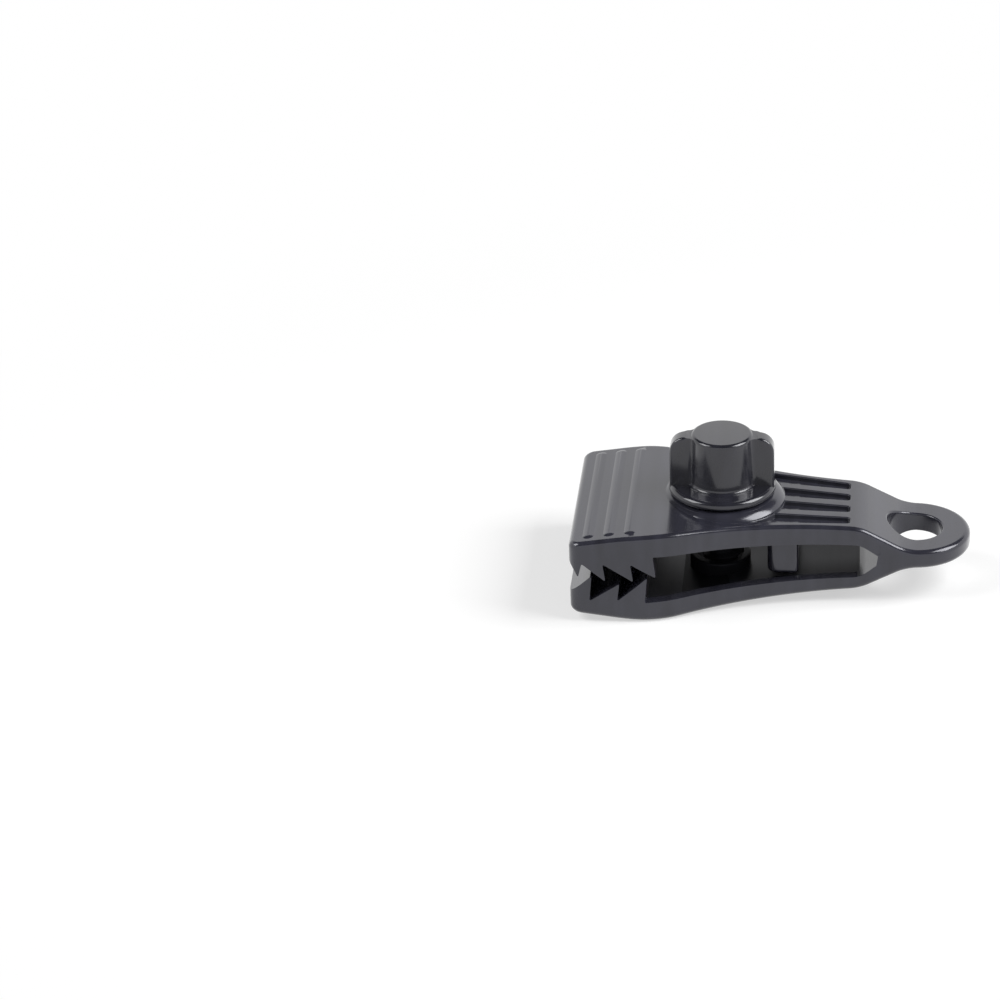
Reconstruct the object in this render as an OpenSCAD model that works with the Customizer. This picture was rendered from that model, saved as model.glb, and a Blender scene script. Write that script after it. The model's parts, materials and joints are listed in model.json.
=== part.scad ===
// Tarp clip: two toothed jaws that a thumb screw draws together, with an eyelet for a rope.
// The clip lies on its lower jaw. X runs from the jaw tips to the eyelet, Y across the jaws, Z up
// along the screw. The origin is on the lowest plane, under the middle of the clip.

/* [Plan] */
// Length from the jaw tips to the outer end of the eyelet
clip_length = 75; // [74:1:95]
// Width across the jaws
jaw_width = 39.4; // [36:0.2:52]
// Width of the neck between the jaws and the eyelet
neck_width = 20.6; // [18:0.2:24]
// Distance from the eyelet's centre to the narrowest part of the waist
waist_setback = 9.5; // [8:0.5:12]
// Radius of the two front corners
front_corner_radius = 2.2; // [1:0.1:4]
// Distance from the jaw tips to the start of the shoulders
shoulder_setback = 11.5; // [9:0.5:14]
// Radius of the shoulders
shoulder_radius = 23; // [12:1:30]

/* [Side] */
// Height over both arms at the crown, where the clip is thickest
body_height = 18; // [17:0.5:22]
// Distance from the jaw tips to the crown
crown_setback = 16.5; // [15.5:0.5:19]
// Radius of the crown
crown_radius = 60; // [40:5:70]
// Slope in degrees from the crown down to the jaw tips
tip_slope = 8; // [6:1:9]
// Slope in degrees from the crown down to the knee
arm_slope = 4; // [3:1:5]
// Slope in degrees from the knee down to the eyelet
neck_slope = 28; // [26:1:32]
// Distance from the eyelet's centre to the knee
knee_setback = 10.2; // [9.5:0.1:12]
// Thickness of the wide plate of each arm
plate_thickness = 2; // [1.6:0.1:2.6]
// Width of the skirt along each side of each arm
skirt_width = 2; // [1.4:0.1:3]
// Depth of the upper arm's skirts behind the teeth
upper_skirt_depth = 4.7; // [4:0.1:5.5]
// Depth of the upper arm's skirts at the knee
upper_knee_depth = 3.9; // [3.4:0.1:4.4]
// Depth of the lower arm's skirts behind the teeth
lower_skirt_depth = 4.1; // [3.4:0.1:4.6]
// Depth of the lower arm's skirts at the knee
lower_knee_depth = 2.8; // [2.4:0.1:3.6]
// Radius of the soft corner at the knees
knee_radius = 4; // [2:0.5:6]
// Radius of the lower jaw's front edge
lower_lip_radius = 2; // [1:0.1:2.4]
// Radius of the upper jaw's front edge
upper_lip_radius = 0.6; // [0.3:0.1:1.2]

/* [Eyelet] */
// Width of the round end
eyelet_width = 21; // [19:0.2:24]
// Diameter of the rope hole
eyelet_bore = 10.4; // [8:0.1:11]
// Thickness of the eyelet
eyelet_thickness = 3.7; // [3:0.1:5]
// Wall left between the rope hole and the gap of the two arms
eyelet_wall = 1.5; // [1.2:0.1:2]
// Distance from the eyelet's centre to the end of the gap
gap_end_setback = 5.7; // [5:0.1:6.5]
// Distance from the eyelet's centre to the line about which the upper arm bends
hinge_setback = 7.3; // [7:0.1:8]
// Radius at the end of the gap
gap_end_radius = 0.7; // [0.4:0.1:1]

/* [Teeth] */
// Distance from one tooth to the next
tooth_pitch = 5.2; // [5:0.1:5.4]
// Number of teeth on the upper jaw
upper_teeth = 4; // [4:1:4]
// Number of teeth on the lower jaw
lower_teeth = 3; // [3:1:3]
// Distance from the jaw tips to the first upper tooth's point
upper_first_tip = 1.7; // [1.5:0.1:1.9]
// Distance from the jaw tips to the first lower tooth's point
lower_first_tip = 4.3; // [4.1:0.1:4.5]
// How far the upper points reach below the middle of the clip
upper_tip_reach = 0.4; // [0.2:0.1:0.5]
// How far the highest lower point reaches above the middle of the clip
lower_tip_reach = 0.8; // [0.5:0.1:0.9]
// Depth of the upper teeth
upper_tooth_depth = 3.7; // [3.4:0.1:3.9]
// Depth of the lower teeth
lower_tooth_depth = 5.3; // [5:0.1:5.5]
// How far each tooth leans back over its root
tooth_lean = 0.5; // [0.3:0.1:0.7]
// Radius of the teeth's points and roots
tooth_radius = 0.2; // [0.1:0.05:0.3]

/* [Upper face] */
// Width of each grip ridge
ridge_width = 2.2; // [1.6:0.1:2.6]
// Length of each grip ridge
ridge_length = 35.7; // [30:0.1:36]
// Height of each grip ridge
ridge_height = 0.35; // [0.2:0.05:0.6]
// Distance from one grip ridge to the next
ridge_pitch = 3.9; // [3:0.1:4]
// Distance from the jaw tips to the first grip ridge's middle
ridge_setback = 3.6; // [3:0.1:4]
// Depth of the four grooves that let the arm bend
groove_depth = 0.9; // [0.5:0.1:1.1]
// Width of each groove at the knee
groove_width = 2.2; // [1.6:0.1:2.6]
// Distance between the middles of the two inner grooves at the knee
inner_groove_spacing = 4.7; // [4:0.1:5]
// Distance between the middles of the two outer grooves at the knee
outer_groove_spacing = 13.9; // [12:0.1:14]
// Distance from the knee to the grooves' ends
groove_setback = 1.5; // [1:0.1:3]

/* [Screw] */
// Distance from the jaw tips to the screw's axis
screw_setback = 28; // [27.5:0.5:29]
// Diameter of the raised boss under the knob
boss_diameter = 22.7; // [21:0.1:23]
// Height of the boss's top above the crown
boss_rise = 0.3; // [0.2:0.1:1]
// Diameter of the hub around the screw on the upper jaw's inner side
hub_diameter = 12; // [11:0.2:14]
// Diameter of the smooth shank
shank_diameter = 7.8; // [7.4:0.1:8]
// Diameter over the thread's crests
thread_diameter = 7.4; // [7:0.1:7.4]
// Depth of the thread
thread_depth = 0.8; // [0.5:0.1:0.9]
// Rise of the thread in one turn
thread_pitch = 3; // [2.5:0.25:3.5]
// Outer diameter of the collar on the lower jaw
collar_diameter = 11.6; // [11:0.1:12]
// Height of the collar's top above the lowest plane
collar_top = 5.1; // [4.6:0.1:5.4]
// Diameter of the knob's flange
flange_diameter = 20.4; // [19:0.2:22]
// Thickness of the knob's flange
flange_thickness = 1.5; // [1.2:0.1:2.4]
// Diameter of the knob's core at the flange
core_base_diameter = 12.4; // [11:0.1:13]
// Diameter of the knob's core at its top
core_top_diameter = 11.6; // [10:0.1:12]
// Height of the knob's top above the lowest plane
knob_top = 30; // [27:0.5:34]
// Thickness of the two wings
wing_thickness = 3.6; // [2.6:0.1:4.4]
// Distance over both wings
wing_span = 19.8; // [18:0.1:20.2]
// Radius of the wings' outer top corners
wing_corner_radius = 3; // [1:0.1:3.5]
// Radius of the knob's top edge
knob_edge_radius = 0.9; // [0.4:0.1:1.2]

/* [Stop block] */
// Distance from the screw's axis to the middle of the stop block
stop_offset = 11.7; // [11.5:0.1:13]
// Length of the stop block along the arm
stop_length = 5.4; // [4:0.1:6]
// Width of the stop block across the arm
stop_width = 19; // [16:0.2:20]
// Height of the stop block's lower face above the lowest plane
stop_bottom = 6; // [5.4:0.1:7]
// Radius of the stop block's upright corners
stop_corner_radius = 2; // [1:0.1:2]

/* [Fits] */
// Gap all round the shank in the upper jaw
shank_clearance = 0.08; // [0.02:0.01:0.1]
// Gap between the boss and the knob's flange
flange_clearance = 0.2; // [0.1:0.05:0.5]
// Gap all round the knuckle that stands for the bending root
knuckle_clearance = 0.08; // [0.02:0.01:0.1]
// Gap between the thread's crests and the collar
collar_clearance = 0.4; // [0.3:0.05:0.5]
// Extra length of the collar's slot, which the swinging screw needs
collar_slot_play = 0.9; // [0.7:0.1:1]
// Distance from the underside of the lower jaw up to the end of the screw
screw_end_inset = 0.3; // [0.2:0.1:0.6]

/* [Hidden] */
$fn = 96;

overrun = body_height;
round_steps = 6;

// Places along the clip, from the jaw tips
middle_x = clip_length / 2;
eyelet_x = clip_length - eyelet_width / 2;
knee_x = eyelet_x - knee_setback;
waist_x = eyelet_x - waist_setback;
gap_end_x = eyelet_x - gap_end_setback;
groove_end_x = knee_x - groove_setback;
stop_x = screw_setback + stop_offset;
jaw_half = jaw_width / 2;
neck_half = neck_width / 2;

// Heights
middle_z = body_height / 2;
upper_tip_z = middle_z - upper_tip_reach;
upper_root_z = upper_tip_z + upper_tooth_depth;
lower_peak_z = middle_z + lower_tip_reach;
lower_root_z = lower_peak_z - lower_tooth_depth;
eyelet_top = middle_z + eyelet_thickness / 2;
boss_top = body_height + boss_rise;
flange_bottom = boss_top + flange_clearance;
flange_top = flange_bottom + flange_thickness;

// The crown's arc and the straight stretches on both sides of it
crown_centre_z = body_height - crown_radius;
front_tangent_x = crown_setback - crown_radius * sin(tip_slope);
front_tangent_z = crown_centre_z + crown_radius * cos(tip_slope);
rear_tangent_x = crown_setback + crown_radius * sin(arm_slope);
rear_tangent_z = crown_centre_z + crown_radius * cos(arm_slope);
lip_z = front_tangent_z - front_tangent_x * tan(tip_slope);
knee_z = rear_tangent_z - (knee_x - rear_tangent_x) * tan(arm_slope);
neck_end_x = knee_x + (knee_z - eyelet_top) / tan(neck_slope);

// Height of the upper face at a distance x from the jaw tips, between the crown and the knee
function face_z(x) = rear_tangent_z - (x - rear_tangent_x) * tan(arm_slope);

// The hinge's axis lies in the middle of the upper arm, where the arm runs down to the eyelet
gap_slope = atan((knee_z - upper_knee_depth - middle_z) / (gap_end_x - knee_x));
hinge_x = eyelet_x - hinge_setback;
hinge_top_z = knee_z - (hinge_x - knee_x) * tan(neck_slope);
hinge_gap_z = middle_z + (gap_end_x - hinge_x) * tan(gap_slope);
hinge_z = (hinge_top_z + hinge_gap_z) / 2;
knuckle_radius = (hinge_top_z - hinge_z) * cos(neck_slope);

// The screw's end, its slot in the collar and the thread
screw_underside = body_height - face_z(screw_setback);
screw_end = screw_underside + screw_end_inset;
slot_radius = thread_diameter / 2 + collar_clearance;
thread_top = face_z(screw_setback) - upper_skirt_depth;
thread_core_radius = thread_diameter / 2 - thread_depth;

// Corner points are [x, z, radius]. This returns the outline with every corner rounded.
function unit(v) = v / norm(v);
function slerp(a, b, sweep, t) = (sin((1 - t) * sweep) * a + sin(t * sweep) * b) / sin(sweep);
function rounded(path) = [
    for (i = [0 : len(path) - 1])
        let (
            before = path[(i + len(path) - 1) % len(path)],
            corner = path[i],
            after = path[(i + 1) % len(path)],
            here = [corner[0], corner[1]],
            back = unit([before[0], before[1]] - here),
            ahead = unit([after[0], after[1]] - here),
            half = acos(back * ahead) / 2,
            radius = corner[2],
            reach = radius / tan(half),
            centre = here + unit(back + ahead) * radius / sin(half),
            start = here + back * reach - centre,
            end = here + ahead * reach - centre
        )
        each radius == 0 ? [here] :
            [for (k = [0 : round_steps]) centre + slerp(start, end, 180 - 2 * half, k / round_steps)]
];

// Points of the crown's arc, from the jaw tips' side to the arm's side, on even degrees
function crown_arc() = [
    for (a = [-tip_slope : 1 : arm_slope])
        [crown_setback + crown_radius * sin(a), crown_centre_z + crown_radius * cos(a), 0]
];

// The upper face from the jaw tips to the end of the eyelet, as corner points
function upper_face(lip_radius) = concat(
    [[0, lip_z, lip_radius]],
    crown_arc(),
    [[knee_x, knee_z, knee_radius], [neck_end_x, eyelet_top, knee_radius], [clip_length, eyelet_top, 0]]
);

// The underside is the upper face turned over about the middle of the clip
function turned_over(path) = [for (p = path) [p[0], body_height - p[1], p[2]]];
function reversed(path) = [for (i = [len(path) - 1 : -1 : 0]) path[i]];
function lower_face() = turned_over(upper_face(lower_lip_radius));

// The side outline of everything below the upper face, lowered by drop
module below_face(drop) {
    polygon(rounded(concat(
        [for (p = upper_face(upper_lip_radius)) [p[0], p[1] - drop, p[2]]],
        [[clip_length, -overrun, 0], [0, -overrun, 0]]
    )));
}

// The jagged gap between the jaws and the long gap between the arms, seen from the side
function upper_tip_x(i) = upper_first_tip + i * tooth_pitch;
function lower_tip_x(i) = lower_first_tip + i * tooth_pitch;
lower_tip_shares = [1, 0.7, 0.93];
function lower_tip_z(i) = lower_root_z + lower_tooth_depth * lower_tip_shares[i];

// The first upper tooth is a half tooth with a bevelled front. The bevel starts at a share of the
// way to the tooth's point and of its depth, and the point and the root behind it follow shares too
bevel_shares = [0.6, 0.6];
first_tip_share = 0.2;
first_root_share = 1.5;
first_root_x = upper_first_tip + tooth_lean * first_root_share;
bevel_x = upper_first_tip * bevel_shares[0];
bevel_z = upper_tip_z + upper_tooth_depth * bevel_shares[1];
first_tip_z = upper_tip_z + upper_tooth_depth * first_tip_share;

// The last upper tooth is cut off by the end of the toothed block
upper_block_end = upper_tip_x(upper_teeth - 1) - tooth_lean * 2;
last_root_x = upper_tip_x(upper_teeth - 2) - tooth_lean;
last_run_share = (upper_block_end - last_root_x) / (tooth_pitch + tooth_lean);
last_tip_z = upper_root_z - upper_tooth_depth * last_run_share;
lower_block_end = lower_tip_x(lower_teeth - 1) - tooth_lean;
upper_skirt_z = body_height - upper_skirt_depth;
lower_skirt_z = lower_skirt_depth;
lower_lip_share = 0.3;
lower_lip_z = lower_root_z + lower_tooth_depth * lower_lip_share;

// The faces of each arm that look into the gap, from the jaw tips to the knee
function upper_edge() = concat(
    [[0, upper_root_z, 0]],
    [[bevel_x, bevel_z, tooth_radius], [upper_first_tip, first_tip_z, tooth_radius]],
    [[first_root_x, upper_root_z, tooth_radius]],
    [for (i = [1 : upper_teeth - 2]) each [
        [upper_tip_x(i), upper_tip_z, tooth_radius],
        [upper_tip_x(i) - tooth_lean, upper_root_z, tooth_radius]
    ]],
    [[upper_block_end, last_tip_z, tooth_radius]],
    [[upper_block_end - tooth_lean, upper_skirt_z, tooth_radius]],
    [[knee_x, knee_z - upper_knee_depth, knee_radius]]
);
function lower_edge() = concat(
    [[0, lower_lip_z, 0]],
    [for (i = [0 : lower_teeth - 1]) each [
        [lower_tip_x(i), lower_tip_z(i), tooth_radius],
        [lower_tip_x(i) - tooth_lean, i == lower_teeth - 1 ? lower_skirt_z : lower_root_z, tooth_radius]
    ]],
    [[knee_x, body_height - knee_z + lower_knee_depth, knee_radius]]
);

// Side outlines: each arm down to the middle of the clip, the whole clip and the gap in it
arm_end = [[clip_length, middle_z, 0], [gap_end_x, middle_z, 0]];
module upper_side() {
    polygon(rounded(concat(upper_face(upper_lip_radius), arm_end, reversed(upper_edge()))));
}
module lower_side() {
    polygon(rounded(concat(lower_face(), arm_end, reversed(lower_edge()))));
}
module root_side() {
    difference() {
        polygon(rounded(concat(upper_face(upper_lip_radius), reversed(lower_face()))));
        polygon(rounded(concat(
            upper_edge(), [[gap_end_x, middle_z, gap_end_radius]], reversed(lower_edge())
        )));
    }
}

// The clip from above, drawn in by inset all round. Each shoulder's arc runs on smoothly into the
// waist's arc, and the two meet where the line through both centres crosses them.
arc_sum = (pow(waist_x - shoulder_setback, 2) + pow(jaw_half - neck_half, 2)) / (2 * (jaw_half - neck_half));
waist_radius = arc_sum - shoulder_radius;
shoulder_y = jaw_half - shoulder_radius;
waist_y = neck_half + waist_radius;
function meeting_x(inset) =
    shoulder_setback + (waist_x - shoulder_setback) * (shoulder_radius - inset) / arc_sum;
function meeting_y(inset) = shoulder_y + (waist_y - shoulder_y) * (shoulder_radius - inset) / arc_sum;

module front_block(inset) {
    radius = front_corner_radius;
    translate([inset, -jaw_half + radius]) square([shoulder_setback - inset, jaw_width - 2 * radius]);
    translate([radius, -jaw_half + inset]) square([shoulder_setback - radius, jaw_width - 2 * inset]);
    for (side = [-1, 1]) translate([radius, side * (jaw_half - radius)]) circle(radius - inset);
}
module shoulders(inset) {
    for (side = [0, 1]) mirror([0, side]) intersection() {
        translate([shoulder_setback, shoulder_y]) circle(shoulder_radius - inset, $fn = 3 * $fn);
        translate([shoulder_setback, 0]) square([meeting_x(inset) - shoulder_setback, jaw_half]);
    }
}
module waist(inset) {
    difference() {
        translate([front_corner_radius, -meeting_y(inset)])
            square([waist_x - front_corner_radius, 2 * meeting_y(inset)]);
        for (side = [-1, 1])
            translate([waist_x, side * waist_y]) circle(waist_radius + inset, $fn = 6 * $fn);
    }
}
module neck(inset) {
    translate([waist_x - neck_half, -neck_half + inset])
        square([eyelet_x - waist_x + neck_half, neck_width - 2 * inset]);
}
module plan(inset) {
    front_block(inset);
    shoulders(inset);
    waist(inset);
    neck(inset);
    translate([eyelet_x, 0]) circle(eyelet_width / 2 - inset);
}

// Turns a side outline into a bar right across the clip
module across() {
    rotate([90, 0, 0]) linear_extrude(jaw_width + 2 * overrun, center = true) children();
}
module upright(from, to) {
    translate([0, 0, from]) linear_extrude(to - from) children();
}
module centred() {
    translate([-middle_x, 0, 0]) children();
}

// Side regions before and behind the line across the upper arm at the hinge
module before_hinge() {
    translate([hinge_x, hinge_z]) rotate(-neck_slope)
        translate([-clip_length, -clip_length]) square([clip_length, 2 * clip_length]);
}
module behind_hinge() {
    translate([hinge_x, hinge_z]) rotate(-neck_slope)
        translate([0, -clip_length]) square([clip_length, 2 * clip_length]);
}
module turn_over() {
    translate([0, body_height]) mirror([0, 1]) children();
}

// The root is what lies behind the hinge line and behind the same line on the lower arm
module root_region() {
    intersection() {
        behind_hinge();
        turn_over() behind_hinge();
    }
}

// Wall that is left round the rope hole where the gap comes close to it
module eyelet_barrel() {
    intersection() {
        translate([eyelet_x, 0, 0]) cylinder(r = eyelet_bore / 2 + eyelet_wall, h = body_height);
        across() polygon(rounded(concat(upper_face(upper_lip_radius), reversed(lower_face()))));
    }
}

module eyelet() {
    color("#47484c") centred() difference() {
        union() {
            intersection() {
                across() intersection() {
                    root_side();
                    root_region();
                }
                upright(0, body_height) plan(0);
            }
            eyelet_barrel();
            intersection() {
                across() translate([hinge_x, hinge_z]) circle(knuckle_radius);
                upright(0, body_height) plan(0);
            }
        }
        translate([eyelet_x, 0, -overrun]) cylinder(d = eyelet_bore, h = body_height + 2 * overrun);
    }
}

// Region of the hollow between an arm's skirts, from above
module hollow_plan(from) {
    intersection() {
        plan(skirt_width);
        translate([from, -jaw_half]) square([groove_end_x - from, jaw_width]);
    }
}

module collar_slot() {
    for (shift = [0, collar_slot_play])
        translate([screw_setback - shift, 0, -overrun]) cylinder(r = slot_radius, h = 2 * overrun);
    translate([screw_setback - collar_slot_play, -slot_radius, -overrun])
        cube([collar_slot_play, 2 * slot_radius, 2 * overrun]);
}

module lower_jaw() {
    color("#4b4c50") centred() difference() {
        union() {
            difference() {
                intersection() {
                    across() intersection() {
                        lower_side();
                        turn_over() before_hinge();
                    }
                    upright(-overrun, body_height) plan(0);
                }
                intersection() {
                    upright(0, body_height) hollow_plan(lower_block_end);
                    across() turn_over() below_face(plate_thickness);
                }
            }
            intersection() {
                translate([screw_setback - collar_slot_play / 2, 0, 0])
                    cylinder(d = collar_diameter, h = collar_top);
                across() turn_over() below_face(0);
            }
        }
        collar_slot();
    }
}

// Three low ridges across the upper jaw, as a plan
module ridge_plan() {
    half_run = (ridge_length - ridge_width) / 2;
    for (i = [0 : 2]) translate([ridge_setback + i * ridge_pitch, 0]) {
        translate([-ridge_width / 2, -half_run]) square([ridge_width, 2 * half_run]);
        for (side = [-1, 1]) translate([0, side * half_run]) circle(d = ridge_width);
    }
}

// Four grooves that fan out from the knee to the boss, as a plan
fan_spread_share = 0.16;
fan_widening_share = 0.5;
fan_run = groove_end_x - screw_setback - boss_diameter / 2;
boss_margin = skirt_width / 3;
module groove(middle_y) {
    run = groove_end_x - screw_setback;
    far_y = middle_y * (1 + fan_spread_share * run / fan_run);
    far_width = groove_width * (1 + fan_widening_share * run / fan_run);
    polygon([
        [groove_end_x, middle_y - groove_width / 2], [groove_end_x, middle_y + groove_width / 2],
        [screw_setback, far_y + far_width / 2], [screw_setback, far_y - far_width / 2]
    ]);
}
module groove_plan() {
    difference() {
        for (side = [-1, 1]) {
            groove(side * inner_groove_spacing / 2);
            groove(side * outer_groove_spacing / 2);
        }
        translate([screw_setback, 0]) circle(boss_diameter / 2 + boss_margin);
    }
}

module stop_block() {
    radius = stop_corner_radius;
    half_length = stop_length / 2;
    half_width = stop_width / 2;
    intersection() {
        upright(stop_bottom, body_height) translate([stop_x, 0]) {
            square([stop_length - 2 * radius, stop_width], center = true);
            square([stop_length, stop_width - 2 * radius], center = true);
            for (across = [-1, 1], along = [-1, 1])
                translate([along * (half_length - radius), across * (half_width - radius)]) circle(radius);
        }
        across() below_face(plate_thickness / 2);
    }
}

module upper_jaw() {
    color("#505156") centred() difference() {
        union() {
            difference() {
                intersection() {
                    across() intersection() {
                        upper_side();
                        before_hinge();
                    }
                    upright(0, body_height + overrun) plan(0);
                }
                difference() {
                    upright(0, body_height + overrun) groove_plan();
                    across() below_face(groove_depth);
                }
                intersection() {
                    upright(0, body_height) hollow_plan(upper_block_end);
                    across() below_face(plate_thickness);
                }
                across() translate([hinge_x, hinge_z]) circle(knuckle_radius + knuckle_clearance);
            }
            intersection() {
                upright(upper_root_z, body_height + overrun) ridge_plan();
                across() below_face(-ridge_height);
            }
            translate([screw_setback, 0, body_height - plate_thickness])
                cylinder(d = boss_diameter, h = boss_rise + plate_thickness);
            translate([screw_setback, 0, thread_top]) cylinder(d = hub_diameter, h = boss_top - thread_top);
            stop_block();
        }
        translate([screw_setback, 0, 0]) cylinder(d = shank_diameter + 2 * shank_clearance, h = knob_top);
    }
}

module thumb_knob() {
    edge = knob_edge_radius;
    rim = flange_thickness / 3;
    color("#3d3e42") centred() translate([screw_setback, 0, 0]) union() {
        rotate_extrude() polygon(rounded([
            [0, flange_bottom, 0],
            [flange_diameter / 2, flange_bottom, rim], [flange_diameter / 2, flange_top, rim],
            [core_base_diameter / 2, flange_top, rim], [core_top_diameter / 2, knob_top, edge],
            [0, knob_top, 0]
        ]));
        rotate([90, 0, 0]) linear_extrude(wing_thickness, center = true) polygon(rounded([
            [-wing_span / 2, flange_top - rim, 0], [-wing_span / 2, knob_top, wing_corner_radius],
            [wing_span / 2, knob_top, wing_corner_radius], [wing_span / 2, flange_top - rim, 0]
        ]));
    }
}

// A single ridge that climbs round the stem, with a ring of four points every thread_ring_turn
// degrees. It grows out of the stem over thread_fade_turn degrees at both ends
thread_ring_turn = 15;
thread_fade_turn = 90;
thread_foot_share = 0.6;
thread_crest_share = 0.25;
thread_run = thread_top - screw_end - thread_pitch;
thread_rings = floor(thread_run / thread_pitch * 360 / thread_ring_turn);
thread_foot = thread_pitch * thread_foot_share;
thread_crest = thread_pitch * thread_crest_share;
thread_root_radius = thread_core_radius - thread_depth / 2;
function thread_ring(i) =
    let (
        turn = i * thread_ring_turn,
        fade = min(1, turn / thread_fade_turn, (thread_rings - i) * thread_ring_turn / thread_fade_turn),
        crest_radius = thread_core_radius + thread_depth * fade,
        z = screw_end + thread_pitch / 2 + thread_pitch * turn / 360
    ) [
        for (p = [
            [thread_root_radius, -thread_foot / 2], [crest_radius, -thread_crest / 2],
            [crest_radius, thread_crest / 2], [thread_root_radius, thread_foot / 2]
        ]) [p[0] * cos(turn), p[0] * sin(turn), z + p[1]]
    ];
module thread() {
    points = [for (i = [0 : thread_rings]) each thread_ring(i)];
    last = 4 * thread_rings;
    faces = [
        for (i = [0 : thread_rings - 1], k = [0 : 3])
            let (a = 4 * i + k, b = 4 * i + (k + 1) % 4)
            each [[a, b, a + 4], [b, b + 4, a + 4]],
        [0, 2, 1], [0, 3, 2],
        [last, last + 1, last + 2], [last, last + 2, last + 3]
    ];
    polyhedron(points, faces);
}

module screw_stem() {
    tip_chamfer = thread_depth;
    color("#34353a") centred() translate([screw_setback, 0, 0]) union() {
        rotate_extrude() polygon([
            [0, screw_end], [thread_core_radius - tip_chamfer, screw_end],
            [thread_core_radius, screw_end + tip_chamfer], [thread_core_radius, thread_top - thread_depth],
            [shank_diameter / 2, thread_top], [shank_diameter / 2, flange_bottom], [0, flange_bottom]
        ]);
        thread();
    }
}

lower_jaw();
eyelet();
upper_jaw();
thumb_knob();
screw_stem();
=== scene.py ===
import json
import math
from contextlib import contextmanager

import bmesh
import bpy
from mathutils import Matrix, Vector


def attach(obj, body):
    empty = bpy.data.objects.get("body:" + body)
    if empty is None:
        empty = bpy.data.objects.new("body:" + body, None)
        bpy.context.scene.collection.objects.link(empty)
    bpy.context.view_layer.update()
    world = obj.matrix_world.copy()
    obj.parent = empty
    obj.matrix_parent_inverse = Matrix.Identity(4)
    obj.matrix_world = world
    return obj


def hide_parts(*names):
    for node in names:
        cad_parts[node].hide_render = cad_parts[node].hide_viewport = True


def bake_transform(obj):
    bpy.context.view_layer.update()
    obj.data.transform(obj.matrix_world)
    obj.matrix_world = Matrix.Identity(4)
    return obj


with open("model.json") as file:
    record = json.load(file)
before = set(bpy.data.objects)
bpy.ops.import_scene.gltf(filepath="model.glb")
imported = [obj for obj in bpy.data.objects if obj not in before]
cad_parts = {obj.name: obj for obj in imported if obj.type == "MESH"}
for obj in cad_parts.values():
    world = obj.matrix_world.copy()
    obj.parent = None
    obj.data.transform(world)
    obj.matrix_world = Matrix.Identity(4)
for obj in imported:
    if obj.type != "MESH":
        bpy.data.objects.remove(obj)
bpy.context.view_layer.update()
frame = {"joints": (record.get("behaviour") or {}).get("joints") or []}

# Every shape is modelled in millimetres, with x measured from the jaw tips, and then put in place
MM = 0.001

# Distances under which points count as one: for cuts, for joining points, for finding edges and for
# the slivers that the cuts leave
CUT_NEAR = 1e-5
JOIN_NEAR = 1e-4
NEAR = 1e-3
SLIVER = 0.005

# Angles between two faces: nearly one plane, an edge to round, and an edge that is shaded as sharp
FLAT = math.radians(0.2)
SHARP = math.radians(35)
SHADED_SHARP = math.radians(38)

# Steps of one full round
ROUND_STEPS = 96

# Plan of the moulding
CLIP_LENGTH = 75
JAW_HALF = 19.7
NECK_HALF = 10.3
FRONT_CORNER = 2.2
SHOULDER_X = 11.5
SHOULDER_RADIUS = 23
EYELET_RADIUS = 10.5
EYELET_X = CLIP_LENGTH - EYELET_RADIUS
WAIST_X = EYELET_X - 9.5
BORE_RADIUS = 5.2
BORE_EDGE = 0.4
BARREL_RADIUS = 6.7
BARREL_HEIGHT = 1.6

# Side of the moulding
BODY_HEIGHT = 18
MIDDLE_Z = BODY_HEIGHT / 2
CROWN_X = 16.5
CROWN_RADIUS = 60
TIP_SLOPE = math.radians(8)
ARM_SLOPE = math.radians(4)
NECK_SLOPE = math.radians(28)
KNEE_X = EYELET_X - 10.2
KNEE_RADIUS = 4
BEND_RADIUS = 8
GAP_END_X = EYELET_X - 5.7
HOLLOW_END_X = KNEE_X - 0.3
GAP_END_RADIUS = 0.7
EYELET_TOP = MIDDLE_Z + 1.85
PLATE = 2
SKIRT = 2
HOLLOW_CORNER = 0.8
UPPER_RIM = 1.1
LOWER_RIM = 1.2
GAP_RIM = 0.1

# Teeth, from the jaw tips backwards
TOOTH_RADIUS = 0.2
UPPER_BLOCK_END = 16.3
LOWER_BLOCK_END = 14.2
UPPER_TEETH = [
    (0, 12.3), (1.02, 10.82), (1.7, 9.34), (2.45, 12.3), (6.9, 8.6), (6.4, 12.3),
    (12.1, 8.6), (11.6, 12.3), (UPPER_BLOCK_END, 9.25), (15.8, 13.7),
]
LOWER_TEETH = [
    (0, 6.09), (4.3, 9.8), (3.8, 4.5), (9.5, 8.21), (9, 4.5), (LOWER_BLOCK_END + 0.5, 9.43),
    (LOWER_BLOCK_END, 4.1),
]
UPPER_KNEE_DEPTH = 3.5
LOWER_KNEE_DEPTH = 2.8

# Ridges and grooves of the upper face
RIDGE_WIDTH = 2.2
RIDGE_LENGTH = 35.7
RIDGE_HEIGHT = 0.26
RIDGE_ROOT = 0.5
RIDGE_SUNK_ANGLE = 12
RIDGE_PLACES = [3.6, 7.5, 11.4]
GROOVE_END_X = KNEE_X - 1.5
GROOVE_DEPTH = 0.9
GROOVE_WIDTH = 2.2
GROOVE_PLACES = [-6.95, -2.35, 2.35, 6.95]
GROOVE_SPREAD = 0.16
GROOVE_WIDENING = 0.5
GROOVE_EDGE = 0.25
GROOVE_SETBACK = 0.3
GROOVE_CORNER_SHARE = 0.6

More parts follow.
